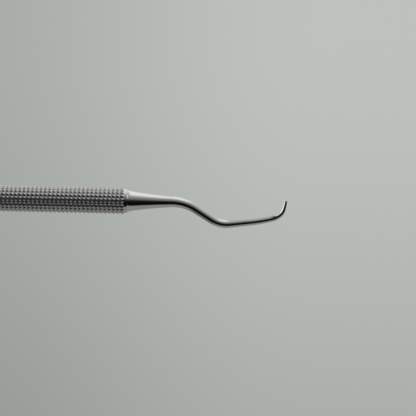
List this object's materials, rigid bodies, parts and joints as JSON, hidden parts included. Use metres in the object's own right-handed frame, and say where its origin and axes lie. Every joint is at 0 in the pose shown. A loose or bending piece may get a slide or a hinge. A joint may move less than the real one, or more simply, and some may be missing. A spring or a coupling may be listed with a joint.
{
  "type": "hand scaler",
  "caption": "Double-ended steel hand scaler: knurled round handle, bent tapering shanks and small hooked blades that face opposite ways.",
  "frame": {"origin": "centre of the handle, on its axis", "axes": "+X along the handle to the working end whose blade hooks upwards, +Z the side that this blade hooks to, +Y across the plane of the bends"},
  "size_m": [0.1758, 0.0064, 0.012],
  "materials": {
    "handle_steel": "satin",
    "polished_steel": "polished",
    "braze_alloy": "satin"
  },
  "bodies": {
    "root": {"handle_tube": "handle_steel", "working_end_right": "polished_steel", "working_end_left": "polished_steel", "braze_ring_right": "braze_alloy", "braze_ring_left": "braze_alloy"}
  },
  "joints": []
}
